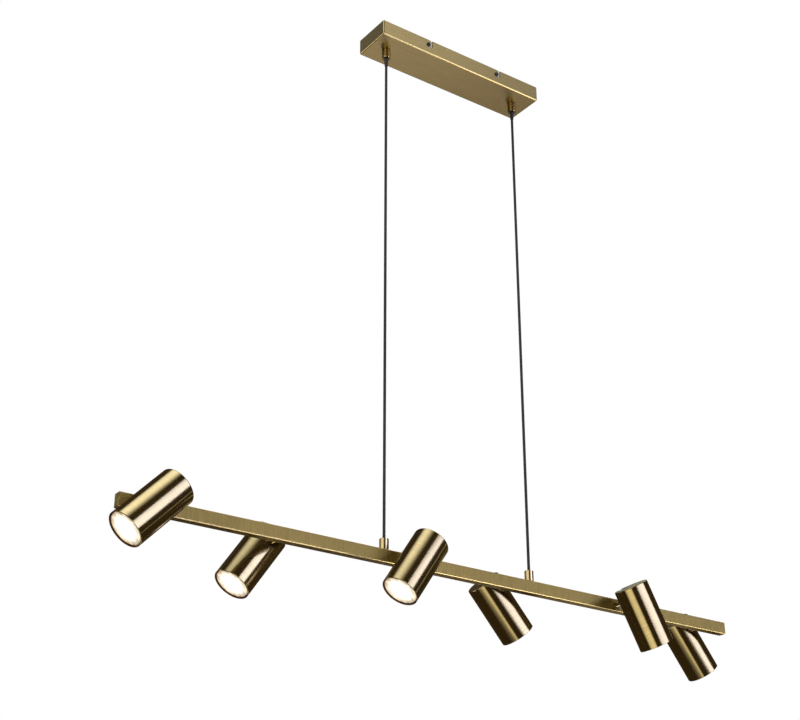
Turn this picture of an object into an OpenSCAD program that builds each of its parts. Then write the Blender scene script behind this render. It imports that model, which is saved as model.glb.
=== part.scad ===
// Pendant light: a ceiling canopy, two cords, a slim bar and six spot heads that turn on the bar
// and tilt on their arms. Millimetres. The origin is the middle of the ceiling strap's top face,
// +Z is up, +X runs along the bar and -Y faces the viewer.

/* [Canopy] */
// Distance between a cord and the canopy's end
cord_end = 30.5; // [22:0.5:60]
// Depth of the canopy
canopy_d = 72; // [68:1:90]
// Height of the canopy
canopy_h = 28; // [27:1:40]
// Sheet thickness of the canopy
canopy_wall = 1.2; // [0.8:0.1:1.6]
// Radius of the canopy's corners and bottom edges
canopy_edge_r = 2; // [1.8:0.1:3]
// Distance between the two hook slots in a long side
hook_spacing = 148; // [100:1:220]
// Depth of a hook slot's seat below the canopy's top edge
hook_drop = 10.2; // [9.5:0.1:11.5]
// Sideways run of a hook slot, from its way in to its seat
hook_run = 6.5; // [6:0.1:9]
// Rise of a hook slot from its run up to its seat
hook_rise = 1.8; // [1:0.1:2.5]
// Width of a hook slot
hook_w = 4.4; // [4.3:0.1:4.8]

/* [Strap] */
// Distance between an end of the ceiling strap and the canopy's end
strap_end = 22.5; // [5:0.5:30]
// Sheet thickness of the ceiling strap
strap_t = 1.5; // [1:0.1:2]
// Height of the strap's flanges
strap_flange_h = 18; // [16:1:20]
// Distance between the middles of the two ceiling slots
strap_slot_spacing = 180; // [120:1:220]
// Length of a ceiling slot, end to end
strap_slot_l = 25; // [12:1:35]
// Width of a ceiling slot
strap_slot_w = 5.4; // [4.5:0.1:6.5]
// Diameter of the hole for the supply cable
supply_hole_d = 20; // [12:1:26]

/* [Screws] */
// Diameter of a hook screw's thread
screw_d = 3.9; // [3.5:0.1:4]
// Diameter of a hook screw's head
screw_head_d = 8; // [7:0.1:9]
// Height of a hook screw's head
screw_head_h = 2.6; // [2:0.1:3.2]
// Length of a hook screw's thread
screw_l = 7; // [5:0.5:10]

/* [Cords] */
// Diameter of a cord
cord_d = 4.5; // [3.6:0.1:4.8]
// Free length of a cord between its two grips
cord_free_l = 850; // [300:10:1500]
// Distance between the two cords
cord_spacing = 274; // [250:1:300]

/* [Grips] */
// Diameter of a cord grip
grip_d = 14; // [12:0.5:15]
// Height of a cord grip
grip_h = 17; // [12:1:22]
// Chamfer of a cord grip's edges
grip_chamfer = 0.6; // [0.3:0.1:1]
// Diameter of a grip's threaded neck
neck_d = 7.8; // [7.2:0.1:8.2]
// Length of a grip's threaded neck
neck_l = 7; // [6:0.5:9]
// Width of a lock nut across its flats
nut_w = 11; // [10:0.5:12]
// Height of a lock nut
nut_h = 3; // [2:0.5:4]
// Diameter of a bushing where it leaves its grip
bushing_d = 6.8; // [6:0.1:8]
// Diameter of a bushing's lower end
bushing_tip_d = 5.6; // [5.4:0.1:6]
// Length of a bushing
bushing_l = 15; // [8:1:25]

/* [Bar] */
// Length of the bar over its end caps
bar_l = 1120; // [1100:10:1300]
// Height of the bar
bar_h = 20; // [18:0.5:26]
// Depth of the bar, front to back
bar_d = 15; // [14.8:0.1:20]
// Sheet thickness of the bar
bar_wall = 1.2; // [1:0.1:1.4]
// Radius of the bar's long edges
bar_edge_r = 1.5; // [1.5:0.1:2.5]
// Thickness of an end cap
cap_t = 1.5; // [1:0.1:3]
// Length of an end cap's spigot
cap_spigot_l = 6; // [3:0.5:12]

/* [Arms] */
// Distance between the outer arms and the bar's ends
arm_end = 45; // [30:1:80]
// Gap between the bar's side and a shade
arm_gap = 20; // [15:0.5:40]
// Diameter of an arm
arm_d = 10; // [9.2:0.1:12]
// Diameter of the arm's neck in the bar
arm_neck_d = 8; // [7:0.1:8.6]
// Bore of an arm for its leads
arm_bore_d = 5; // [3.5:0.1:5.4]
// Width of an arm's nut across its flats
arm_nut_w = 12; // [11:0.1:13]
// Height of an arm's nut
arm_nut_h = 3; // [2:0.1:3.5]
// Thread of an arm that shows past its nut
arm_tip_l = 1; // [0.5:0.1:1.5]
// Thickness of the arm's eye
eye_t = 6; // [4:0.1:7]
// Turn of each head on the bar, from hanging straight down, left to right
turns = [-44, -35, -34, 42, 29, 38]; // [-90:1:90]

/* [Shades] */
// Diameter of a shade
shade_d = 55; // [54.6:0.1:64]
// Length of a shade
shade_l = 100; // [98:1:130]
// Sheet thickness of a shade
shade_wall = 1.2; // [0.8:0.1:1.4]
// Radius of the edge at a shade's back
shade_edge_r = 1.5; // [1.5:0.1:3]
// Distance of the tilt rivet below a shade's back
rivet_drop = 20; // [18:0.5:24]
// Distance of the tilt rivet inside a shade's side
rivet_inset = 13.5; // [12.5:0.5:16]
// Diameter of the tilt rivet
rivet_d = 4; // [3:0.1:5]
// Sheet thickness of a carrier
carrier_t = 1.5; // [1:0.1:2]
// Distance of a carrier's plate below the rivet
carrier_drop = 7.5; // [7.2:0.1:9]
// Reach of a carrier's cheeks past the arm's eye
cheek_lip = 1; // [0.5:0.1:1.5]

/* [Lamps] */
// Diameter of a lamp's face
lamp_d = 50; // [48:0.1:51]
// Depth of the retaining ring below the rim of a shade
lamp_recess = 3.5; // [2:0.1:7]
// Width of a retaining ring
ring_w = 2.2; // [1.5:0.1:3.5]
// Thickness of a retaining ring
ring_t = 2; // [1:0.1:2.5]
// Diameter of a lamp's base
lamp_base_d = 26; // [22:0.5:27]
// Distance between a lamp's two pins
lamp_pin_spacing = 10; // [10:0.1:10.2]
// Diameter of a lampholder
holder_d = 27; // [26:0.5:30]
// Height of a lampholder
holder_h = 15; // [13:0.5:16]

/* [Terminals] */
// Length of the terminal block
block_l = 48; // [36:1:60]
// Depth of the terminal block
block_d = 20; // [16:1:24]
// Height of the terminal block
block_h = 15; // [12:1:16]
// Diameter of the leads
lead_d = 3; // [2:0.1:3.2]
// Reach of a lead's tail inside an arm
lead_reach = 2; // [1:0.5:10]

/* [Hidden] */
HEAD_PARTS = ["arm", "arm_nut", "shade", "carrier", "holder", "lamp", "ring"];
head_count = len(turns);
$fn = 64;

// Clearances: a turning fit, a seated fit, two flat faces that turn on each other and what
// swings past its neighbours. The overrun of every cut
turn_fit = 0.05;
seat_fit = 0.1;
face_gap = 0.1;
swing_gap = 0.5;
cut = 1;

// Levels along Z
canopy_floor = canopy_wall - canopy_h;
cord_top = -canopy_h - grip_h;
cord_bottom = cord_top - cord_free_l;
bar_top = cord_bottom - grip_h;
bar_z = bar_top - bar_h / 2;

// Canopy, strap and hook slots
canopy_l = cord_spacing + 2 * cord_end;
strap_l = canopy_l - 2 * strap_end;
strap_w = canopy_d - 2 * canopy_wall - 2 * seat_fit;
hook_leg = hook_drop + hook_rise;
sides = [-1, 1];

// Arms: their spacing along the bar, and distances from the bar's middle plane
arm_spacing = (bar_l - 2 * arm_end) / (head_count - 1);
bar_face = bar_d / 2;
bar_inner_d = bar_d - 2 * bar_wall;
bar_inner_h = bar_h - 2 * bar_wall;
arm_nut_y = bar_inner_d / 2 - face_gap;
arm_neck_end = arm_nut_y - arm_nut_h - arm_tip_l;
rivet_y = bar_face + arm_gap + rivet_inset;
shade_y = bar_face + arm_gap + shade_d / 2;
cheek_r = arm_d / 2 + cheek_lip;
rod_end = rivet_y - cheek_r - swing_gap;
lead_exit_y = rod_end - arm_bore_d / 2 - face_gap;
slot_r = arm_d / 2 + swing_gap;

// Levels in a head, measured from its rivet, with the mouth down
shade_back = rivet_drop;
shade_rim = rivet_drop - shade_l;
shade_inner_r = shade_d / 2 - shade_wall;
holder_top = -carrier_drop - carrier_t;
holder_bottom = holder_top - holder_h;
ring_front = shade_rim + lamp_recess;
lamp_face = ring_front + ring_t;
lamp_rim_h = 0.17 * lamp_d;
lamp_neck_h = 0.16 * lamp_d;
pin_d = 4.8;
pin_l = 7;

brass = "#a08a55";
dark_brass = "#7d6b45";
zinc = "#b9bab8";
black = "#1e1e20";
white = "#ece8de";

// A flat outline with rounded corners, centred
module rounded(l, w, r) {
    square([l - 2 * r, w], center = true);
    square([l, w - 2 * r], center = true);
    for (x = sides, y = sides) translate([x * (l / 2 - r), y * (w / 2 - r)]) circle(r);
}

// A flat slot along X with round ends, centred
module slot_outline(l, w) {
    square([l - w, w], center = true);
    for (x = sides) translate([x * (l - w) / 2, 0]) circle(d = w);
}

// A rod along -Y from distance a to distance b
module rod_y(d, a, b) {
    translate([0, -a, 0]) rotate([90, 0, 0]) cylinder(d = d, h = b - a);
}

// A lead along X from a to b, with a round end at b
module lead_x(a, b) {
    translate([min(a, b), 0, 0]) rotate([0, 90, 0]) cylinder(d = lead_d, h = abs(b - a), $fn = 24);
    translate([b, 0, 0]) sphere(d = lead_d, $fn = 24);
}

module ceiling_strap() color(zinc) {
    difference() {
        translate([0, 0, -strap_flange_h]) linear_extrude(strap_flange_h)
            square([strap_l, strap_w], center = true);
        translate([0, 0, -strap_flange_h - strap_t]) linear_extrude(strap_flange_h)
            square([strap_l + 2 * cut, strap_w - 2 * strap_t], center = true);
        translate([0, 0, -strap_t - cut]) linear_extrude(strap_t + 2 * cut) {
            for (x = sides) translate([x * strap_slot_spacing / 2, 0])
                slot_outline(strap_slot_l, strap_slot_w);
            circle(d = supply_hole_d);
            translate([earth_x, 0]) circle(d = screw_d + 2 * turn_fit);
        }
        for (x = sides) translate([x * hook_spacing / 2, 0, -hook_drop])
            rod_y(screw_d + 2 * turn_fit, -canopy_d, canopy_d);
    }
}

// The way in, the run and the rise of one pair of hook slots, through both long sides
module hook_cut() {
    depth = canopy_d + 2 * cut;
    translate([hook_run, 0, (cut - hook_leg) / 2]) cube([hook_w, depth, hook_leg + cut], center = true);
    translate([hook_run / 2, 0, -hook_leg]) cube([hook_run, depth, hook_w], center = true);
    translate([0, 0, -hook_leg + hook_rise / 2]) cube([hook_w, depth, hook_rise], center = true);
    for (p = [[0, -hook_drop], [0, -hook_leg], [hook_run, -hook_leg]])
        translate([p[0], 0, p[1]]) rod_y(hook_w, -depth / 2, depth / 2);
}

// The canopy's outside as a solid block, its corners and bottom edges rounded
module canopy_block() {
    r = canopy_edge_r;
    l = canopy_l - 2 * r;
    d = canopy_d - 2 * r;
    translate([0, 0, r - canopy_h]) {
        linear_extrude(canopy_h - r) rounded(canopy_l, canopy_d, r);
        translate([0, 0, -r]) linear_extrude(r) square([l, d], center = true);
        for (y = sides) translate([0, y * d / 2, 0])
            rotate([0, 90, 0]) cylinder(r = r, h = l, center = true);
        for (x = sides) translate([x * l / 2, 0, 0])
            rotate([90, 0, 0]) cylinder(r = r, h = d, center = true);
        for (x = sides, y = sides) translate([x * l / 2, y * d / 2, 0]) sphere(r = r);
    }
}

module canopy() color(brass) {
    difference() {
        canopy_block();
        translate([0, 0, canopy_floor]) linear_extrude(canopy_h)
            rounded(canopy_l - 2 * canopy_wall, canopy_d - 2 * canopy_wall, canopy_edge_r - canopy_wall);
        for (x = sides) {
            translate([x * cord_spacing / 2, 0, -canopy_h - cut])
                cylinder(d = neck_d + 2 * seat_fit, h = canopy_wall + 2 * cut);
            translate([x * hook_spacing / 2, 0, 0]) hook_cut();
        }
    }
}

// One screw along -Y, its head's seat at y = 0
module hook_screw() {
    recess_w = screw_head_d * 0.14;
    recess_l = screw_head_d * 0.6;
    rod_y(screw_d, -screw_l, 0);
    difference() {
        rotate([90, 0, 0]) rotate_extrude() polygon([
            [0, 0], [screw_head_d / 2, 0], [screw_head_d / 2, screw_head_h * 0.35],
            [screw_head_d * 0.44, screw_head_h * 0.65], [screw_head_d * 0.33, screw_head_h * 0.88],
            [screw_head_d * 0.18, screw_head_h], [0, screw_head_h]
        ]);
        for (a = [0, 90]) rotate([0, a, 0])
            translate([0, -screw_head_h, 0]) cube([recess_l, screw_head_h, recess_w], center = true);
    }
}

module hook_screws() color("#2c2a28") {
    for (x = sides, turn = [0, 180])
        translate([x * hook_spacing / 2, 0, -hook_drop]) rotate([0, 0, turn])
            translate([0, -canopy_d / 2, 0]) hook_screw();
}

// A cord grip with its body below z = 0 and its neck above
module grip() color(brass) {
    bore_r = cord_d / 2 + seat_fit;
    rotate_extrude() polygon([
        [bore_r, -grip_h], [grip_d / 2 - grip_chamfer, -grip_h], [grip_d / 2, grip_chamfer - grip_h],
        [grip_d / 2, -grip_chamfer], [grip_d / 2 - grip_chamfer, 0], [neck_d / 2, 0],
        [neck_d / 2, neck_l], [bore_r, neck_l]
    ]);
}

module grip_top(x) translate([x * cord_spacing / 2, 0, -canopy_h]) grip();
module grip_bar(x) translate([x * cord_spacing / 2, 0, bar_top]) rotate([180, 0, 0]) grip();

// A hex nut above z = 0
module hex_nut(w, h, hole_d) {
    difference() {
        cylinder(d = w / cos(30), h = h, $fn = 6);
        translate([0, 0, -cut]) cylinder(d = hole_d, h = h + 2 * cut);
    }
}

module canopy_nuts() color(zinc) {
    for (x = sides) translate([x * cord_spacing / 2, 0, canopy_floor])
        hex_nut(nut_w, nut_h, neck_d + 2 * turn_fit);
}

module bar_nuts() color(zinc) {
    for (x = sides) translate([x * cord_spacing / 2, 0, bar_top - bar_wall - nut_h])
        hex_nut(nut_w, nut_h, neck_d + 2 * turn_fit);
}

module bushings() color(black) {
    bore_r = cord_d / 2 + seat_fit;
    collar_h = bushing_l * 0.2;
    for (x = sides) translate([x * cord_spacing / 2, 0, cord_top]) rotate_extrude() polygon([
        [bore_r, 0], [bushing_d / 2, 0], [bushing_d / 2, -collar_h],
        [bushing_tip_d / 2, -bushing_l], [bore_r, -bushing_l]
    ]);
}

// A cord, which runs through both grips and ends just inside the canopy and the bar
module cord(x) color(black) {
    tail = neck_l + grip_h + cord_d / 2;
    translate([x * cord_spacing / 2, 0, cord_bottom - tail])
        cylinder(d = cord_d, h = cord_free_l + 2 * tail);
}

// Levels of the cords' ends and of the leads that go on from them
cord_end_top = neck_l - canopy_h + cord_d / 2;
cord_end_bottom = bar_top - neck_l - cord_d / 2;
canopy_lead_z = cord_end_top + lead_d / 2;
block_top = canopy_floor + block_h;
earth_x = block_l / 2 + 2 * screw_head_d;

module terminal_block() color(white) {
    ways = 3;
    pitch = block_l / ways;
    difference() {
        translate([-block_l / 2, -block_d / 2, canopy_floor]) cube([block_l, block_d, block_h]);
        for (n = [0 : ways - 1]) translate([(n + 0.5) * pitch - block_l / 2, 0, 0]) {
            translate([0, 0, canopy_floor + block_h * 0.4])
                rod_y(screw_d, -block_d, block_d);
            for (y = sides) translate([0, y * block_d * 0.25, canopy_floor + block_h * 0.6])
                cylinder(d = screw_d, h = block_h);
        }
        for (n = [1 : ways - 1]) translate([n * pitch - block_l / 2, 0, block_top])
            cube([lead_d * 0.4, block_d + 2 * cut, lead_d * 2], center = true);
    }
}

// A screw and nut that hang from the strap and clamp the earth lead's ring
module earth_terminal() color("#c8b070") {
    ring_h = strap_t * 0.6;
    stud_l = strap_t + ring_h + nut_h + face_gap;
    translate([earth_x, 0, 0]) {
        translate([0, 0, -stud_l]) cylinder(d = screw_d, h = stud_l);
        translate([0, 0, -strap_t - ring_h]) difference() {
            cylinder(d = screw_head_d, h = ring_h);
            translate([0, 0, -cut]) cylinder(d = screw_d - turn_fit, h = ring_h + 2 * cut);
        }
        translate([0, 0, -strap_t - ring_h - nut_h])
            hex_nut(screw_head_d * 0.85, nut_h, screw_d - turn_fit);
    }
}

// The cords' leads to the terminal block, and the earth lead up to the strap
module canopy_leads() color("#8c8c90") {
    for (x = sides) translate([0, 0, canopy_lead_z]) {
        lead_x(x * block_l / 2, x * cord_spacing / 2);
        translate([x * cord_spacing / 2, 0, -lead_d / 2]) cylinder(d = lead_d, h = lead_d / 2, $fn = 24);
    }
    earth_y = (screw_head_d + lead_d) / 2 - seat_fit;
    earth_lead_z = -strap_t - strap_t * 0.3 - lead_d / 2;
    translate([0, earth_y, earth_lead_z]) {
        lead_x(block_l / 2 - lead_d, earth_x);
        translate([block_l / 2 - lead_d, 0, 0]) sphere(d = lead_d, $fn = 24);
        translate([block_l / 2 - lead_d, 0, block_top - earth_lead_z])
            cylinder(d = lead_d, h = earth_lead_z - block_top, $fn = 24);
    }
}

// Points of the bar along X
function arm_x(k) = (k - (head_count - 1) / 2) * arm_spacing;
// The odd heads from the left stand at the front, the others at the back
function at_back(k) = k % 2 == 1;

module bar_outline(inset) {
    rounded(bar_d - 2 * inset, bar_h - 2 * inset, bar_edge_r - inset);
}

// An extrusion along X of an outline in Y and Z, centred
module along_x(l) rotate([90, 0, 90]) linear_extrude(l, center = true) children();

module bar() color(brass) {
    difference() {
        translate([0, 0, bar_z]) along_x(bar_l - 2 * cap_t) difference() {
            bar_outline(0);
            bar_outline(bar_wall);
        }
        for (x = sides) translate([x * cord_spacing / 2, 0, bar_top - bar_wall - cut])
            cylinder(d = neck_d + 2 * seat_fit, h = bar_wall + 2 * cut);
        for (k = [0 : head_count - 1]) translate([arm_x(k), 0, bar_z]) rotate([0, 0, at_back(k) ? 180 : 0])
            rod_y(arm_neck_d + 2 * turn_fit, bar_face - bar_wall - cut, bar_face + cut);
    }
}

module end_caps() color(brass) {
    spigot_inset = bar_wall + seat_fit;
    for (x = sides) translate([0, 0, bar_z]) {
        translate([x * (bar_l - cap_t) / 2, 0, 0]) along_x(cap_t) bar_outline(0);
        translate([x * (bar_l / 2 - cap_t - cap_spigot_l / 2), 0, 0])
            along_x(cap_spigot_l) difference() {
                bar_outline(spigot_inset);
                square([bar_inner_d - 4 * bar_wall, bar_inner_h - 4 * bar_wall], center = true);
            }
    }
}

// A lead along the bar, with a riser to each cord and a tail into each arm
module bar_leads() color("#8c8c90") {
    lead_z = bar_z - bar_inner_h / 2 + lead_d / 2 + seat_fit;
    tail_d = arm_bore_d * 0.5;
    end_x = arm_x(head_count - 1);
    translate([0, 0, lead_z]) {
        lead_x(-end_x, end_x);
        lead_x(end_x, -end_x);
        for (x = sides) translate([x * cord_spacing / 2, 0, 0])
            cylinder(d = lead_d, h = cord_end_bottom - lead_z, $fn = 24);
    }
    for (k = [0 : head_count - 1]) translate([arm_x(k), 0, 0]) {
        translate([0, 0, lead_z]) cylinder(d = tail_d, h = bar_z - lead_z, $fn = 24);
        translate([0, 0, bar_z]) sphere(d = tail_d, $fn = 24);
        translate([0, 0, bar_z]) rotate([0, 0, at_back(k) ? 180 : 0])
            rotate([90, 0, 0]) cylinder(d = tail_d, h = arm_neck_end + lead_reach, $fn = 24);
    }
}

// Puts a head made with its arm along -Y and its mouth down at its place on the bar
module at_head(k) {
    translate([arm_x(k), 0, bar_z]) rotate([0, -turns[k], 0]) rotate([0, 0, at_back(k) ? 180 : 0])
        children();
}

module arm() color(brass) {
    difference() {
        union() {
            rod_y(arm_d, bar_face + face_gap, rod_end);
            rod_y(arm_neck_d, arm_neck_end, bar_face + face_gap);
            intersection() {
                rod_y(arm_d, rod_end - eye_t, rivet_y);
                translate([0, -rivet_y, 0]) cube([eye_t, 2 * arm_gap, arm_d], center = true);
            }
            translate([-eye_t / 2, -rivet_y, 0]) rotate([0, 90, 0]) cylinder(r = arm_d / 2, h = eye_t);
        }
        rod_y(arm_bore_d, arm_neck_end - cut, lead_exit_y);
        translate([0, -lead_exit_y, 0]) cylinder(d = arm_bore_d * 0.9, h = arm_d);
        translate([0, -rivet_y, 0]) rotate([0, 90, 0])
            cylinder(d = rivet_d + 2 * turn_fit, h = 2 * eye_t, center = true);
    }
}

module arm_nut() color(zinc) {
    translate([0, -arm_nut_y, 0]) rotate([-90, 0, 0])
        hex_nut(arm_nut_w, arm_nut_h, arm_neck_d + 2 * turn_fit);
}

// The way that the arm sweeps through a shade's side and back as the shade tilts
module arm_sweep() {
    reach = rivet_inset + cut;
    translate([-slot_r, -rivet_y, 0]) cube([2 * slot_r, reach, shade_back + cut]);
    rod_y(2 * slot_r, rivet_y - reach, rivet_y);
    translate([0, -rivet_y, 0]) cylinder(r = slot_r, h = shade_back + cut);
}

module shade() color(brass) {
    r = shade_d / 2;
    steps = 6;
    difference() {
        translate([0, -shade_y, 0]) rotate_extrude($fn = 96) polygon(concat(
            [[0, shade_back - shade_wall], [0, shade_back]],
            [for (i = [0 : steps]) let (a = 90 * i / steps)
                [r - shade_edge_r * (1 - sin(a)), shade_back - shade_edge_r * (1 - cos(a))]],
            [[r, shade_rim + shade_wall / 4], [r - shade_wall / 4, shade_rim],
             [shade_inner_r, shade_rim], [shade_inner_r, shade_back - shade_wall]]
        ));
        arm_sweep();
    }
}

// The plate across a shade, with the two cheeks and the rivet that the arm's eye turns on
module carrier() color(zinc) {
    cheek_x = eye_t / 2 + 1.5 * face_gap;
    lead_hole_d = arm_bore_d + carrier_t;
    difference() {
        translate([0, -shade_y, holder_top]) cylinder(r = shade_inner_r - seat_fit, h = carrier_t);
        translate([0, -shade_y - holder_d * 0.3, holder_top - cut])
            cylinder(d = lead_hole_d, h = carrier_t + 2 * cut);
    }
    for (x = sides) translate([x * (cheek_x + carrier_t / 2), -rivet_y, 0]) {
        rotate([0, 90, 0]) cylinder(r = cheek_r, h = carrier_t, center = true);
        translate([-carrier_t / 2, -cheek_r, holder_top + carrier_t / 2])
            cube([carrier_t, 2 * cheek_r, -holder_top - carrier_t / 2]);
        rotate([0, 90, 0]) translate([0, 0, x * carrier_t])
            cylinder(d = rivet_d * 1.6, h = carrier_t, center = true);
    }
    translate([0, -rivet_y, 0]) rotate([0, 90, 0])
        cylinder(d = rivet_d, h = 2 * (cheek_x + carrier_t), center = true);
}

module at_pins() {
    for (x = sides) translate([x * lamp_pin_spacing / 2, -shade_y, 0]) children();
}

module holder() color(white) {
    pin_hole_d = pin_d + 4 * seat_fit;
    difference() {
        translate([0, -shade_y, holder_bottom]) cylinder(d = holder_d, h = holder_h);
        at_pins() translate([0, 0, holder_bottom - cut])
            cylinder(d = pin_hole_d, h = pin_l + 2 * cut, $fn = 32);
    }
}

module lamp() color("#f6ead0") {
    rim_top = lamp_face + lamp_rim_h;
    edge = ring_t / 2;
    translate([0, -shade_y, 0]) rotate_extrude($fn = 96) polygon([
        [0, holder_bottom], [lamp_base_d / 2, holder_bottom],
        [lamp_base_d / 2, holder_bottom - lamp_neck_h],
        [lamp_d * 0.40, (holder_bottom - lamp_neck_h) * 0.4 + rim_top * 0.6],
        [lamp_d / 2, rim_top], [lamp_d / 2, lamp_face + edge], [lamp_d / 2 - edge, lamp_face],
        [0, lamp_face]
    ]);
    at_pins() translate([0, 0, holder_bottom]) cylinder(d = pin_d, h = pin_l, $fn = 32);
}

module ring() color(dark_brass) {
    ring_r = shade_inner_r - seat_fit;
    translate([0, -shade_y, ring_front]) difference() {
        cylinder(r = ring_r, h = ring_t, $fn = 96);
        translate([0, 0, -cut]) cylinder(r = ring_r - ring_w, h = ring_t + 2 * cut, $fn = 96);
    }
}

ceiling_strap();
canopy();
hook_screws();
grip_top(-1);  // grip_top_left
grip_top(1);  // grip_top_right
canopy_nuts();
bushings();
cord(-1);  // cord_left
cord(1);  // cord_right
terminal_block();
earth_terminal();
canopy_leads();
bar();
end_caps();
grip_bar(-1);  // grip_bar_left
grip_bar(1);  // grip_bar_right
bar_nuts();
bar_leads();
for (k = [0 : head_count - 1]) {
    at_head(k) arm();
    at_head(k) arm_nut();
    at_head(k) shade();
    at_head(k) carrier();
    at_head(k) holder();
    at_head(k) lamp();
    at_head(k) ring();
}
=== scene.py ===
import math

import bmesh
import bpy
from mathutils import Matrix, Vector


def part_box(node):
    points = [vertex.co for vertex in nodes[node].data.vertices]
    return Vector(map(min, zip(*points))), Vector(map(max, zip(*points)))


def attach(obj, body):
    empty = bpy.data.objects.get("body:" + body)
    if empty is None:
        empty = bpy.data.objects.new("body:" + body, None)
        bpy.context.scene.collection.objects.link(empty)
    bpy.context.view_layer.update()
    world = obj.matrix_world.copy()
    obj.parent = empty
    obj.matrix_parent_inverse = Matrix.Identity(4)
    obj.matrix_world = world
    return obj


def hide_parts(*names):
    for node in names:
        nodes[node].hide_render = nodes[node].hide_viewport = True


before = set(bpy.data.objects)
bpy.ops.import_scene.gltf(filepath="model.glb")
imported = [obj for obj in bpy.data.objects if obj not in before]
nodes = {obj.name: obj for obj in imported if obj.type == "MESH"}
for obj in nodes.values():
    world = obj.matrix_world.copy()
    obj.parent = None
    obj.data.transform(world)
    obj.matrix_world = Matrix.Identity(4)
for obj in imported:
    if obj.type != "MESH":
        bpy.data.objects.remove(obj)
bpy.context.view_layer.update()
scene = bpy.context.scene
scene.view_settings.view_transform = "Standard"
MM = 0.001
HEADS = range(1, 7)


def add_object(name, data):
    made = bpy.data.objects.new(name, data)
    scene.collection.objects.link(made)
    return made


# Camera. The photograph joins a canopy and a bar that were taken from different heights, so the
# camera is the one between them that covers both best.
PHOTO_W = 800
FOCAL_PX = 1500
SENSOR = 36
CAMERA_AT = Vector((-1.3305, -1.7144, -1.5792))
CAMERA_YAW = 0.6193
CAMERA_PITCH = 0.4353
CLIP_NEAR = 0.01
CLIP_FAR = 50

camera_data = bpy.data.cameras.new("camera")
camera_data.sensor_width = SENSOR
camera_data.lens = SENSOR * FOCAL_PX / PHOTO_W
camera_data.clip_start = CLIP_NEAR
camera_data.clip_end = CLIP_FAR
camera = add_object("camera", camera_data)
camera.location = CAMERA_AT
camera.rotation_euler = (math.pi / 2 + CAMERA_PITCH, 0, -CAMERA_YAW)
scene.camera = camera


class Shader:
    """A material's node tree, with short calls for the nodes that the finishes share."""

    def __init__(self, name):
        self.material = bpy.data.materials.new(name)
        self.material.use_nodes = True
        self.tree = self.material.node_tree
        self.bsdf = self.tree.nodes["Principled BSDF"]
        self.coords = self.add("ShaderNodeTexCoord")
        self.place = self.coords.outputs["Object"]

    def add(self, kind, **settings):
        made = self.tree.nodes.new(kind)
        for key, value in settings.items():
            setattr(made, key, value)
        return made

    def link(self, source, target):
        self.tree.links.new(source, target)

    def set(self, **values):
        for key, value in values.items():
            self.bsdf.inputs[key.replace("_", " ")].default_value = value

    def vector(self, operation, a, b):
        made = self.add("ShaderNodeVectorMath", operation=operation)
        for socket, value in zip(made.inputs, (a, b)):
            if isinstance(value, bpy.types.NodeSocket):
                self.link(value, socket)
            else:
                socket.default_value = value
        return made.outputs["Value" if operation in ("LENGTH", "DOT_PRODUCT") else "Vector"]

    def scaled(self, vector, factor):
        made = self.add("ShaderNodeVectorMath", operation="SCALE")
        for source, socket in ((vector, made.inputs[0]), (factor, made.inputs["Scale"])):
            if isinstance(source, bpy.types.NodeSocket):
                self.link(source, socket)
            else:
                socket.default_value = source
        return made.outputs["Vector"]

    def math(self, operation, a, b=0.0):
        made = self.add("ShaderNodeMath", operation=operation)
        for socket, value in zip(made.inputs, (a, b)):
            if isinstance(value, bpy.types.NodeSocket):
                self.link(value, socket)
            else:
                socket.default_value = value
        return made.outputs["Value"]

    def noise(self, vector, scale, detail=2.0, roughness=0.5):
        made = self.add("ShaderNodeTexNoise")
        made.inputs["Scale"].default_value = scale
        made.inputs["Detail"].default_value = detail
        made.inputs["Roughness"].default_value = roughness
        self.link(vector, made.inputs["Vector"])
        return made.outputs["Fac"]

    def ramp(self, value, stops):
        made = self.add("ShaderNodeValToRGB")
        elements = made.color_ramp.elements
        while len(elements) < len(stops):
            elements.new(0.5)
        for element, (place, colour) in zip(elements, stops):
            element.position = place
            element.color = (*colour, 1)
        self.link(value, made.inputs["Fac"])
        return made.outputs["Color"]

    def remap(self, value, low, high, start=0.0, end=1.0):
        made = self.add("ShaderNodeMapRange")
        limits = {"From Min": start, "From Max": end, "To Min": low, "To Max": high}
        for key, number in limits.items():
            made.inputs[key].default_value = number
        self.link(value, made.inputs["Value"])
        return made.outputs["Result"]

    def mix(self, factor, a, b):
        made = self.add("ShaderNodeMix", data_type="RGBA")
        # Sockets 6 and 7 take the two colours, and output 2 gives the mixed one
        for socket, value in ((made.inputs[0], factor), (made.inputs[6], a), (made.inputs[7], b)):
            if isinstance(value, bpy.types.NodeSocket):
                self.link(value, socket)
            elif isinstance(value, (int, float)):
                socket.default_value = value
            else:
                socket.default_value = (*value, 1)
        return made.outputs[2]

    def bump(self, height, distance, strength=1.0):
        made = self.add("ShaderNodeBump")
        made.inputs["Distance"].default_value = distance
        made.inputs["Strength"].default_value = strength
        self.link(height, made.inputs["Height"])
        self.link(made.outputs["Normal"], self.bsdf.inputs["Normal"])


# Nearly all values of a noise lie between these
NOISE_RANGE = (0.3, 0.7)
# Brushed metal: cells of its grain in a metre along a brush line, cells of its clouds in a metre,
# and how hard the small lines stand beside the large ones
LINE_GRAIN = 24
CLOUD_GRAIN = 9
LINE_HARDNESS = 0.65
# The lines' share in its tone, beside the clouds', and the tones of its dark and light colours
FINE_SHARE = 0.7
TONE_DARK = 0.34
TONE_LIGHT = 0.66
# How far its roughness goes to either side of its mean, and the roughness of its lacquer
ROUGH_SWING = 0.12
LACQUER_ROUGH = 0.12
# Height of its lines, and how strongly they show
LINE_HEIGHT = 0.02 * MM
LINE_RELIEF = 0.12
# Width of the band in which the tint of a bore gives way
BORE_BLEND = 0.2 * MM
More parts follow.
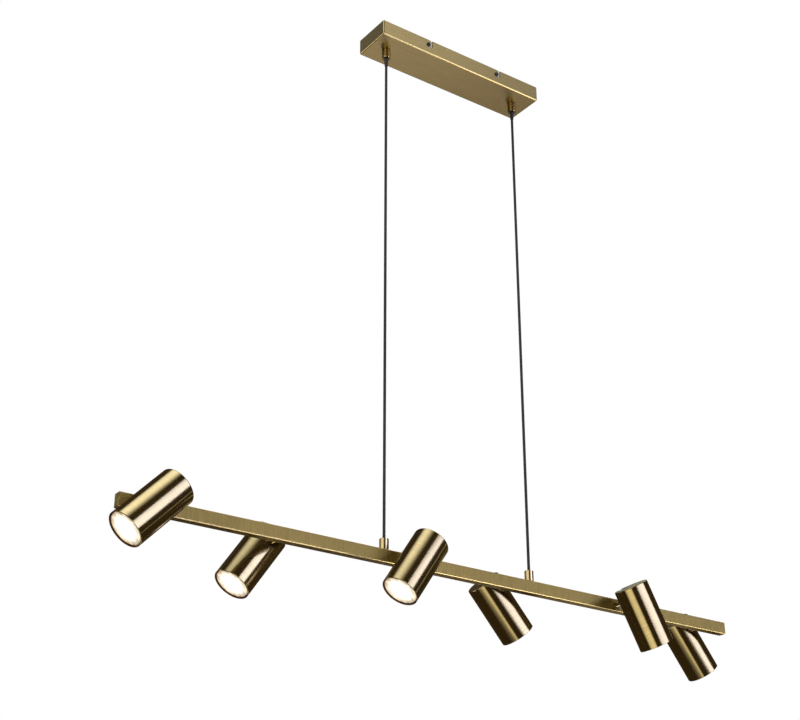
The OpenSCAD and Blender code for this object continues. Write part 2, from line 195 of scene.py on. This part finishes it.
# The part of a normal along an axis where the darker colour of ends, which is painted shade,
# begins and is full
END_FACING = (0.9, 0.99)
# The largest part of a normal along the object's axes where an edge's lighter colour, a painted
# highlight, is full and where it ends, and the share of the roughness that an edge has
EDGE_FACING = (0.95, 0.995)
EDGE_ROUGH_SHARE = 0.5


def brushed(name, axis, colour, rough, grain, anisotropy=0.0, centre=None, lines=None, **more):
    """Brushed metal whose tone varies along the axis, grain times in a metre. The brush lines run
    round the axis through the centre, or along the direction lines, and its reflections are drawn
    out square to them. more may hold coat, contrast, relief, the strength of the lines' bump,
    ends, a darker colour painted on the faces across the axis as painted shade, edge, a lighter
    colour painted on the rounded edges as a painted highlight, where the metal is also smoother,
    and inside = (radius, length, colour), which tints the bore round the axis."""
    s = Shader(name)
    along = s.vector("DOT_PRODUCT", s.place, axis)
    across_lines = s.scaled(axis, s.math("MULTIPLY", along, grain))
    stretched = s.vector("ADD", s.scaled(s.place, LINE_GRAIN), across_lines)
    fine = s.noise(stretched, 1.0, 3, LINE_HARDNESS)
    cloud = s.noise(s.place, CLOUD_GRAIN, 3)
    tone = s.math("ADD", s.math("MULTIPLY", fine, FINE_SHARE),
                  s.math("MULTIPLY", cloud, 1 - FINE_SHARE))
    contrast = more.get("contrast", 0.16)
    dark, light = ([c * (1 + part * contrast) for c in colour] for part in (-1, 1))
    tint = s.ramp(tone, [(TONE_DARK, dark), (TONE_LIGHT, light)])
    roughness = s.remap(fine, rough * (1 + ROUGH_SWING), rough * (1 - ROUGH_SWING), *NOISE_RANGE)
    if "inside" in more:
        radius, length, inner = more["inside"]
        offset = s.vector("SUBTRACT", s.place, centre)
        reach = s.vector("LENGTH", s.vector("CROSS_PRODUCT", offset, axis), (0, 0, 0))
        outer = s.remap(reach, 0, 1, radius, radius + BORE_BLEND)
        depth = s.vector("DOT_PRODUCT", offset, axis)
        back = s.remap(depth, 1, 0, -length, -length + BORE_BLEND)
        tint = s.mix(s.math("MAXIMUM", outer, back), inner, tint)
    # Painted shade: a darker colour on the faces across the axis
    if "ends" in more:
        facing = s.math("ABSOLUTE", s.vector("DOT_PRODUCT", s.coords.outputs["Normal"], axis))
        tint = s.mix(s.remap(facing, 0, 1, *END_FACING), tint, more["ends"])
    # Painted highlight: a lighter colour on the rounded edges; their lower roughness is real
    if "edge" in more:
        parts = s.add("ShaderNodeSeparateXYZ")
        s.link(s.vector("ABSOLUTE", s.coords.outputs["Normal"], (0, 0, 0)), parts.inputs[0])
        square = s.math("MAXIMUM", parts.outputs[0], parts.outputs[1])
        square = s.math("MAXIMUM", square, parts.outputs[2])
        tint = s.mix(s.remap(square, 1, 0, *EDGE_FACING), tint, more["edge"])
        smoother = s.remap(square, EDGE_ROUGH_SHARE, 1, *EDGE_FACING)
        roughness = s.math("MULTIPLY", roughness, smoother)
    s.link(tint, s.bsdf.inputs["Base Color"])
    s.link(roughness, s.bsdf.inputs["Roughness"])
    s.set(Metallic=1.0, Anisotropic=anisotropy)
    s.set(Coat_Weight=more.get("coat", 0.0), Coat_Roughness=LACQUER_ROUGH)
    if anisotropy:
        if lines is None:
            lines = s.vector("CROSS_PRODUCT", axis, s.vector("SUBTRACT", s.place, centre))
        tangent = s.vector("CROSS_PRODUCT", s.coords.outputs["Normal"], lines)
        turn = s.add("ShaderNodeVectorTransform", vector_type="VECTOR",
                     convert_from="OBJECT", convert_to="WORLD")
        s.link(tangent, turn.inputs["Vector"])
        s.link(turn.outputs["Vector"], s.bsdf.inputs["Tangent"])
    s.bump(fine, LINE_HEIGHT, more.get("relief", LINE_RELIEF))
    return s.material


# A plain surface: the size of its clouds in flecks, the flecks' share in its tone, the tones of
# its dark and light colours, the swing of its roughness, and how strongly its flecks stand out
CLOUD_FLECKS = 30
FLECK_SHARE = 0.5
PLAIN_DARK = 0.35
PLAIN_LIGHT = 0.65
PLAIN_SWING = 0.15
FLECK_RELIEF = 0.5


def plain(name, colour, rough, metallic=0.0, speckle=0.12, scale=900, bump=0.01, **more):
    """A moulded, painted or plated surface: a faint mottle in its colour and its gloss."""
    s = Shader(name)
    fleck = s.noise(s.place, scale, 3)
    cloud = s.noise(s.place, scale / CLOUD_FLECKS, 2)
    tone = s.math("ADD", s.math("MULTIPLY", fleck, FLECK_SHARE),
                  s.math("MULTIPLY", cloud, 1 - FLECK_SHARE))
    low = [c * (1 - speckle) for c in colour]
    high = [min(1, c * (1 + speckle)) for c in colour]
    s.link(s.ramp(tone, [(PLAIN_DARK, low), (PLAIN_LIGHT, high)]), s.bsdf.inputs["Base Color"])
    roughness = s.remap(tone, rough * (1 - PLAIN_SWING), rough * (1 + PLAIN_SWING), *NOISE_RANGE)
    s.link(roughness, s.bsdf.inputs["Roughness"])
    s.set(Metallic=metallic, **more)
    s.bump(fleck, bump * MM, FLECK_RELIEF)
    return s.material


# Finishes, linear colours
BRASS = (0.300, 0.232, 0.112)
CANOPY_BRASS = (0.325, 0.245, 0.098)
BRASS_SATIN = (0.268, 0.192, 0.055)
BRASS_POLISHED = (0.620, 0.520, 0.320)
BRASS_GRIP = (0.430, 0.330, 0.170)
# A darker colour for the grips' end faces: painted shade
GRIP_ENDS_SHADE = (0.120, 0.090, 0.045)
# The next two are lighter colours for rounded edges: painted highlights
BRASS_EDGE_HIGHLIGHT = (0.780, 0.600, 0.300)
CANOPY_EDGE_HIGHLIGHT = (0.430, 0.320, 0.140)
SHADE_IN = (0.100, 0.068, 0.036)
ALONG_BAR = Vector((1, 0, 0))
UP = Vector((0, 0, 1))
ACROSS = Vector((0, 1, 0))
# The brush lines of the canopy
CANOPY_LINES = (1, 0.3, 0)
BAR_MIDDLE = sum(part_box("bar"), Vector()) / 2

bar_brass = brushed("bar_brass", ALONG_BAR, BRASS_SATIN, rough=0.52, grain=1500, anisotropy=0.8,
                    centre=BAR_MIDDLE, contrast=0.20, edge=BRASS_EDGE_HIGHLIGHT)
canopy_brass = brushed("canopy_brass", (UP + ACROSS).normalized(), CANOPY_BRASS, rough=0.32,
                       grain=900, anisotropy=0.75, lines=CANOPY_LINES, contrast=0.10,
                       edge=CANOPY_EDGE_HIGHLIGHT)
grip_brass = brushed("grip_brass", UP, BRASS_GRIP, rough=0.22, grain=1500, contrast=0.08,
                     relief=0.02, ends=GRIP_ENDS_SHADE)
arm_brass = brushed("arm_brass", ACROSS, BRASS_POLISHED, rough=0.16, grain=1500)
ring_brass = plain("ring_brass", (0.30, 0.165, 0.080), rough=0.30, metallic=1.0)
bare_brass = plain("bare_brass", (0.55, 0.40, 0.16), rough=0.30, metallic=1.0)
zinc = plain("zinc_steel", (0.50, 0.51, 0.52), rough=0.34, metallic=1.0, scale=500)
dark_steel = plain("dark_steel", (0.035, 0.032, 0.030), rough=0.38, metallic=0.6)
cord_black = plain("cord_black", (0.016, 0.016, 0.016), rough=0.50, speckle=0.05, scale=1600,
                   bump=0.002, Specular_IOR_Level=0.25)
rubber = plain("black_rubber", (0.011, 0.011, 0.011), rough=0.55, scale=1400)
lead_sheath = plain("lead_sheath", (0.24, 0.24, 0.26), rough=0.45)
white_plastic = plain("white_plastic", (0.74, 0.71, 0.63), rough=0.50, speckle=0.05)
reflector = plain("lamp_reflector", (0.62, 0.62, 0.60), rough=0.20, metallic=0.8)

finish = {
    "ceiling_strap": zinc, "canopy": canopy_brass, "hook_screws": dark_steel,
    "grip_top_left": grip_brass, "grip_top_right": grip_brass, "canopy_nuts": zinc,
    "bushings": rubber, "terminal_block": white_plastic, "earth_terminal": bare_brass,
    "canopy_leads": lead_sheath, "bar": bar_brass, "end_caps": bar_brass,
    "grip_bar_left": grip_brass, "grip_bar_right": grip_brass, "bar_nuts": zinc,
    "bar_leads": lead_sheath,
}


def head_frame(k):
    """A head's axis, which points out of its mouth, and its ring's middle, which lies on it."""
    ring_low, ring_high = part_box(f"ring_{k}")
    holder_low, holder_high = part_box(f"holder_{k}")
    front = (ring_low + ring_high) / 2
    rear = (holder_low + holder_high) / 2
    return (front - rear).normalized(), front


# The axis and the ring's middle of each head
heads = {k: head_frame(k) for k in HEADS}
# The shade's bore, from the ring's middle back to the shade's closed end
SHADE_BORE_R = 26.3 * MM
SHADE_BORE_L = 92.4 * MM
for k, (axis, centre) in heads.items():
    finish[f"shade_{k}"] = brushed(
        f"shade_brass_{k}", axis, BRASS, rough=0.17, grain=1500, anisotropy=0.6, centre=centre,
        coat=0.15, inside=(SHADE_BORE_R, SHADE_BORE_L, SHADE_IN),
    )
    finish[f"arm_{k}"] = arm_brass
    finish[f"arm_nut_{k}"] = zinc
    finish[f"carrier_{k}"] = zinc
    finish[f"holder_{k}"] = white_plastic
    finish[f"lamp_{k}"] = reflector
    finish[f"ring_{k}"] = ring_brass

for name, material in finish.items():
    node = nodes[name]
    node.data.materials.clear()
    node.data.materials.append(material)


def cord(side):
    """One cord, on the line of its CAD solid, straight down through both grips."""
    node = f"cord_{side}"
    low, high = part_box(node)
    middle = (low + high) / 2
    points = 16
    round_steps = 6
    diameter = high.x - low.x
    data = bpy.data.curves.new(f"round_cord_{side}", "CURVE")
    data.dimensions = "3D"
    data.bevel_depth = diameter / 2
    data.bevel_resolution = round_steps
    data.use_fill_caps = True
    spline = data.splines.new("POLY")
    spline.points.add(points - 1)
    for i, point in enumerate(spline.points):
        point.co = (middle.x, middle.y, high.z + (low.z - high.z) * i / (points - 1), 1)
    spline.use_smooth = True
    data.materials.append(cord_black)
    piece = add_object(f"round_cord_{side}", data)
    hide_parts(node)
    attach(piece, "hanger")


for side in ("left", "right"):
    cord(side)


# The lit glass: its light in the middle, at its side and at its very edge, and its own colours
GLOW_MIDDLE = (1.0, 0.95, 0.84)
GLOW_SIDE = (1.0, 0.86, 0.62)
GLOW_EDGE = (0.90, 0.50, 0.24)
GLASS_MIDDLE = (0.30, 0.28, 0.25)
GLASS_SIDE = (0.16, 0.14, 0.11)
GLASS_ROUGH = 0.25
GLOW_POWER = 1.25
# Facets in a radius, their height in the glass and how strongly it shows
FACETS_IN_RADIUS = 5
FACET_HEIGHT = 0.3 * MM
FACET_RELIEF = 0.6
# The least and the most power of a facet, and the share of its power that the edge keeps
FACET_POWERS = (0.25, 1.10)
EDGE_POWER_SHARE = 0.5
# Shares of the radius between which the middle gives way to the facets, and where the edge begins
FACETS_FROM_SHARE = 0.55
FACETS_FULL_SHARE = 0.90
EDGE_FROM_SHARE = 0.92


def glow_material():
    """The lit front of a lamp: white in the middle, and warmer facets towards its edge."""
    s = Shader("lamp_glow")
    uv = s.coords.outputs["UV"]
    radius = s.vector("LENGTH", uv, (0, 0, 0))
    cells = s.add("ShaderNodeTexVoronoi")
    cells.inputs["Scale"].default_value = FACETS_IN_RADIUS
    s.link(uv, cells.inputs["Vector"])
    facet = s.remap(cells.outputs["Color"], *FACET_POWERS)
    middle = s.remap(radius, 1, 0, FACETS_FROM_SHARE, FACETS_FULL_SHARE)
    edge = s.remap(radius, 0, 1, EDGE_FROM_SHARE, 1.0)
    warm = s.mix(middle, GLOW_SIDE, GLOW_MIDDLE)
    power = s.mix(middle, facet, (GLOW_POWER,) * 3)
    power = s.math("MULTIPLY", power, s.remap(edge, 1.0, EDGE_POWER_SHARE))
    s.link(s.mix(edge, warm, GLOW_EDGE), s.bsdf.inputs["Emission Color"])
    s.link(power, s.bsdf.inputs["Emission Strength"])
    s.link(s.mix(middle, GLASS_SIDE, GLASS_MIDDLE), s.bsdf.inputs["Base Color"])
    s.set(Roughness=GLASS_ROUGH)
    s.bump(cells.outputs["Distance"], FACET_HEIGHT, FACET_RELIEF)
    return s.material


glow = glow_material()


def lens(k):
    """The moulded front glass of a lamp: rings of small facets. It stands on the ring, and its
    side reaches back to it."""
    axis, ring_centre = heads[k]
    rings = 9
    sectors = 40
    radius = 25.0 * MM
    dome = 0.7 * MM
    facet_depth = 0.2 * MM
    edge_lift = 0.05 * MM
    side_depth = 2.0 * MM
    forward = 2.6 * MM
    across = ACROSS
    side = axis.cross(across).normalized()
    base = ring_centre + axis * forward
    mesh = bpy.data.meshes.new(f"lens_{k}")
    bm = bmesh.new()
    uv = bm.loops.layers.uv.new("face")

    def point(r, turn, lift=0.0):
        place = across * (r * math.cos(turn)) + side * (r * math.sin(turn))
        height = dome * (1 - (r / radius) ** 2) + lift + edge_lift
        return base + place + axis * height

    def flat(co):
        off = co - base
        return off.dot(across) / radius, off.dot(side) / radius

    step = 2 * math.pi / sectors
    grid = [[bm.verts.new(point(radius * i / rings, step * j)) for j in range(sectors)]
            for i in range(1, rings + 1)]
    middle = bm.verts.new(point(0, 0, facet_depth))
    for j in range(sectors):
        bm.faces.new((middle, grid[0][j], grid[0][(j + 1) % sectors]))
    for i in range(rings - 1):
        for j in range(sectors):
            inner, outer, after = grid[i], grid[i + 1], (j + 1) % sectors
            corners = (inner[j], outer[j], outer[after], inner[after])
            crown = bm.verts.new(point(radius * (i + 1.5) / rings, step * (j + 0.5), facet_depth))
            for a, b in zip(corners, corners[1:] + corners[:1]):
                bm.faces.new((a, b, crown))
    skirt = [bm.verts.new(v.co - axis * side_depth) for v in grid[-1]]
    for j in range(sectors):
        after = (j + 1) % sectors
        bm.faces.new((grid[-1][j], skirt[j], skirt[after], grid[-1][after]))
    bm.faces.new(list(reversed(skirt)))
    bmesh.ops.recalc_face_normals(bm, faces=bm.faces)
    for face in bm.faces:
        for loop in face.loops:
            loop[uv].uv = flat(loop.vert.co)
    bm.to_mesh(mesh)
    bm.free()
    mesh.materials.append(glow)
    piece = add_object(f"lens_{k}", mesh)
    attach(piece, f"head_body_{k}")


for k in HEADS:
    lens(k)


# Studio. Directions from the object: azimuth 0 is the front, 90 the right; elevation 0 is level.
STUDIO_AT = Vector((0, 0, -0.8))
FLAG_DISTANCE = 9.0
SOFTBOX_DISTANCE = 8.5
# Colours of the dark cloth and of the lights
FLAG = (0.075, 0.052, 0.022)
COOL = (0.60, 0.655, 1.00)
WARM = (1.00, 0.98, 0.80)
PALE = (0.98, 1.02, 1.02)
GREY = (0.80, 0.90, 1.20)
MILKY = (0.90, 0.87, 1.00)


def direction(azimuth, elevation):
    a, e = math.radians(azimuth), math.radians(elevation)
    return Vector((math.sin(a) * math.cos(e), -math.cos(a) * math.cos(e), math.sin(e)))


def seen_in_metal_only(piece):
    piece.visible_camera = False
    piece.visible_diffuse = False
    piece.visible_transmission = False
    piece.visible_volume_scatter = False
    piece.visible_shadow = False


def emitter(name, strength_stops, soft):
    """An emission whose strength follows U by stops of (place, colour). soft holds the widths of
    its soft edges in U and in V."""
    material = bpy.data.materials.new(name)
    material.use_nodes = True
    tree = material.node_tree
    tree.nodes.clear()
    out = tree.nodes.new("ShaderNodeOutputMaterial")
    glowing = tree.nodes.new("ShaderNodeEmission")
    clear = tree.nodes.new("ShaderNodeBsdfTransparent")
    blend = tree.nodes.new("ShaderNodeMixShader")
    coords = tree.nodes.new("ShaderNodeTexCoord")
    split = tree.nodes.new("ShaderNodeSeparateXYZ")
    ramp = tree.nodes.new("ShaderNodeValToRGB")
    tree.links.new(coords.outputs["UV"], split.inputs[0])
    tree.links.new(split.outputs[0], ramp.inputs["Fac"])
    elements = ramp.color_ramp.elements
    while len(elements) < len(strength_stops):
        elements.new(0.5)
    top = max(max(colour) for place, colour in strength_stops)
    for element, (place, colour) in zip(elements, strength_stops):
        element.position = place
        element.color = (*[c / top for c in colour], 1)
    tree.links.new(ramp.outputs["Color"], glowing.inputs["Color"])
    glowing.inputs["Strength"].default_value = top
    edges = []
    for axis in (0, 1):
        away = tree.nodes.new("ShaderNodeMath")
        away.operation = "PINGPONG"
        away.inputs[1].default_value = 0.5
        tree.links.new(split.outputs[axis], away.inputs[0])
        rise = tree.nodes.new("ShaderNodeMapRange")
        rise.interpolation_type = "SMOOTHSTEP"
        rise.inputs["From Max"].default_value = soft[axis]
        tree.links.new(away.outputs[0], rise.inputs["Value"])
        edges.append(rise.outputs["Result"])
    both = tree.nodes.new("ShaderNodeMath")
    both.operation = "MULTIPLY"
    tree.links.new(edges[0], both.inputs[0])
    tree.links.new(edges[1], both.inputs[1])
    tree.links.new(both.outputs[0], blend.inputs[0])
    tree.links.new(clear.outputs[0], blend.inputs[1])
    tree.links.new(glowing.outputs[0], blend.inputs[2])
    tree.links.new(blend.outputs[0], out.inputs["Surface"])
    return material


def patch(name, corners, distance, material):
    """Part of a sphere round the object. corners are its directions: lower left, lower right,
    upper right and upper left."""
    steps = 12
    ll, lr, ur, ul = corners
    mesh = bpy.data.meshes.new(name)
    bm = bmesh.new()
    uv = bm.loops.layers.uv.new("face")
    places = {}

    def aim(u, v):
        low = [a + (b - a) * u for a, b in zip(ll, lr)]
        high = [a + (b - a) * u for a, b in zip(ul, ur)]
        return direction(*[a + (b - a) * v for a, b in zip(low, high)])

    for i in range(steps + 1):
        for j in range(steps + 1):
            places[i, j] = bm.verts.new(STUDIO_AT + aim(i / steps, j / steps) * distance)
    for i in range(steps):
        for j in range(steps):
            spots = [(i, j), (i + 1, j), (i + 1, j + 1), (i, j + 1)]
            face = bm.faces.new([places[spot] for spot in spots])
            for loop, spot in zip(face.loops, spots):
                loop[uv].uv = (spot[0] / steps, spot[1] / steps)
    bm.to_mesh(mesh)
    bm.free()
    mesh.materials.append(material)
    seen_in_metal_only(add_object(name, mesh))


def flag_material():
    material = bpy.data.materials.new("flag_cloth")
    material.use_nodes = True
    tree = material.node_tree
    tree.nodes.clear()
    out = tree.nodes.new("ShaderNodeOutputMaterial")
    dark = tree.nodes.new("ShaderNodeEmission")
    dark.inputs["Color"].default_value = (*FLAG, 1)
    tree.links.new(dark.outputs[0], out.inputs["Surface"])
    return material


def flags():
    """Dark cloth all round, behind the lights."""
    cell = 5
    weld = 1 * MM
    mesh = bpy.data.meshes.new("flags")
    bm = bmesh.new()
    for azimuth in range(-180, 180, cell):
        for elevation in range(-90, 90, cell):
            spots = [(azimuth, elevation), (azimuth + cell, elevation),
                     (azimuth + cell, elevation + cell), (azimuth, elevation + cell)]
            bm.faces.new([bm.verts.new(STUDIO_AT + direction(*s) * FLAG_DISTANCE) for s in spots])
    bmesh.ops.remove_doubles(bm, verts=bm.verts, dist=weld)
    bm.to_mesh(mesh)
    bm.free()
    mesh.materials.append(flag_material())
    seen_in_metal_only(add_object("flags", mesh))


def softbox(name, corners, colour, powers, soft):
    """A light seen in the metal only, its power running from left to right."""
    last = len(powers) - 1
    stops = [(i / last, tuple(c * power for c in colour)) for i, power in enumerate(powers)]
    patch(name, corners, SOFTBOX_DISTANCE, emitter(name, stops, soft))


flags()
softbox("softbox_right", [(-10, -21), (42, -7), (46, 19), (13, 35)],
        COOL, (4.8, 6.0, 6.0), (0.05, 0.10))
softbox("softbox_top", [(-140, 60), (2, 46), (10, 89), (-140, 89)],
        PALE, (2.0, 3.6, 3.9, 3.2), (0.10, 0.50))
softbox("softbox_low", [(-100, -56), (-28, -56), (-36, -20), (-96, -20)],
        WARM, (1.2, 2.6, 2.5), (0.16, 0.30))
softbox("softbox_left", [(-115, 4), (-35, 4), (-45, 50), (-115, 50)],
        WARM, (2.0, 2.0), (0.15, 0.10))
softbox("softbox_edge", [(34, -54), (82, -54), (82, -38), (34, -24)],
        WARM, (6.0, 6.0), (0.10, 0.15))
softbox("softbox_canopy", [(20, 34), (62, 34), (62, 64), (24, 64)],
        WARM, (1.7, 1.45, 0.1, 0.05), (0.10, 0.10))
softbox("softbox_under", [(108, -80), (165, -80), (165, -32), (108, -32)],
        MILKY, (1.7, 2.2), (0.05, 0.06))
softbox("softbox_rear", [(-168, 8), (-124, 8), (-124, 46), (-168, 46)],
        GREY, (0.4, 0.4), (0.1, 0.2))
softbox("softbox_corner", [(-142, -18), (-118, -18), (-118, 14), (-142, 14)],
        WARM, (2.6, 2.6), (0.1, 0.1))
softbox("fill_high", [(70, 36), (155, 36), (155, 80), (70, 80)], WARM, (1.0, 1.0), (0.1, 0.15))
softbox("fill_right", [(126, 12), (165, 12), (165, 32), (126, 32)], WARM, (0.35, 0.35), (0.2, 0.2))
softbox("fill_low", [(-180, -90), (180, -90), (180, -62), (-180, -62)],
        GREY, (0.8, 0.8), (0.02, 0.1))
softbox("strip", [(68, -16), (73, -16), (75, 9), (70, 9)], WARM, (1.0, 1.0), (0.3, 0.2))

FLOOR_Z = -2.45
FLOOR_RADIUS = 45.0
FLOOR_SIDES = 128
floor_mesh = bpy.data.meshes.new("floor")
floor_turns = [2 * math.pi * i / FLOOR_SIDES for i in range(FLOOR_SIDES)]
floor_mesh.from_pydata(
    [(FLOOR_RADIUS * math.cos(a), FLOOR_RADIUS * math.sin(a), FLOOR_Z) for a in floor_turns],
    [], [tuple(range(FLOOR_SIDES))])
floor_mesh.materials.append(
    plain("floor_paint", (0.94, 0.94, 0.93), rough=0.9, speckle=0.01, scale=40,
          Specular_IOR_Level=0.0))
floor = add_object("floor", floor_mesh)
floor.visible_glossy = False

# White where it is seen, also in metal and through glass, and a little less bright as a light
WORLD_SEEN = 1.0
WORLD_LIGHT = 0.9

world = bpy.data.worlds.new("studio")
scene.world = world
world.use_nodes = True
tree = world.node_tree
tree.nodes.clear()
out = tree.nodes.new("ShaderNodeOutputWorld")
lit = tree.nodes.new("ShaderNodeBackground")
lit.inputs["Strength"].default_value = WORLD_LIGHT
shown = tree.nodes.new("ShaderNodeBackground")
shown.inputs["Color"].default_value = (1, 1, 1, 1)
shown.inputs["Strength"].default_value = WORLD_SEEN
lit.inputs["Color"].default_value = (1, 1, 1, 1)
path = tree.nodes.new("ShaderNodeLightPath")
first = tree.nodes.new("ShaderNodeMath")
first.operation = "MAXIMUM"
second = tree.nodes.new("ShaderNodeMath")
second.operation = "MAXIMUM"
blend = tree.nodes.new("ShaderNodeMixShader")
tree.links.new(path.outputs["Is Camera Ray"], first.inputs[0])
tree.links.new(path.outputs["Is Glossy Ray"], first.inputs[1])
tree.links.new(first.outputs[0], second.inputs[0])
tree.links.new(path.outputs["Is Transmission Ray"], second.inputs[1])
tree.links.new(second.outputs[0], blend.inputs[0])
tree.links.new(lit.outputs[0], blend.inputs[1])
tree.links.new(shown.outputs[0], blend.inputs[2])
tree.links.new(blend.outputs[0], out.inputs["Surface"])

KEY_AT = Vector((-1.6, -2.2, 1.6))
KEY_AIM = Vector((0, 0, -0.9))
KEY_SIZE = 2.5
KEY_WATTS = 40

key_data = bpy.data.lights.new("key", "AREA")
key_data.shape = "DISK"
key_data.size = KEY_SIZE
key_data.energy = KEY_WATTS
key = add_object("key", key_data)
key.location = KEY_AT
key.rotation_euler = (KEY_AIM - KEY_AT).to_track_quat("-Z", "Y").to_euler()
key.visible_glossy = False
key.visible_camera = False
